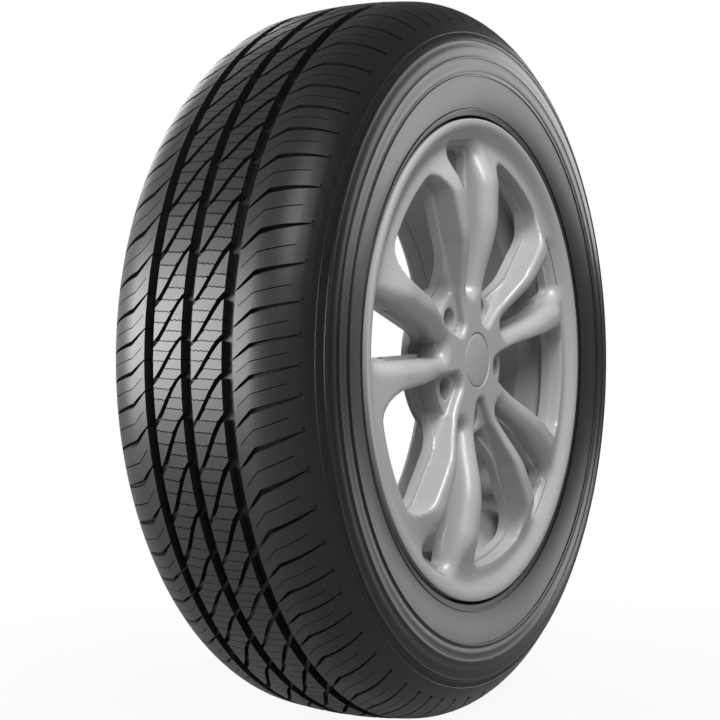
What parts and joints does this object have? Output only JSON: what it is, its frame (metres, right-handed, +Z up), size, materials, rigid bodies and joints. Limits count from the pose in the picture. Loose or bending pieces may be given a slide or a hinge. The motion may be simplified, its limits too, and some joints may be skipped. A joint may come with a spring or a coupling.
{
  "type": "car wheel with tyre",
  "caption": "Passenger car wheel: a grooved radial tyre seated on a grey cast alloy wheel with slim spokes in pairs, plain centre cap and snap-in valve.",
  "frame": {"origin": "the wheel's centre, on the axle line and in the middle of the tyre's width", "axes": "the wheel spins about Y, its outer face looks along -Y and its hub side along +Y, and +Z is up"},
  "size_m": [0.6214, 0.19, 0.6214],
  "materials": {
    "tyre_rubber": "moulded rubber, satin black",
    "painted_alloy": "cast alloy under silver-grey paint",
    "cap_plastic": "painted to match the wheel",
    "valve_rubber": "moulded rubber, matt",
    "valve_brass": "turned brass, bare",
    "valve_cap_plastic": "moulded plastic, matt black"
  },
  "bodies": {
    "root": {"tyre": "tyre_rubber", "wheel": "painted_alloy", "centre_cap": "cap_plastic", "valve_stem": "valve_rubber", "valve_core": "valve_brass", "valve_cap": "valve_cap_plastic"}
  },
  "joints": []
}
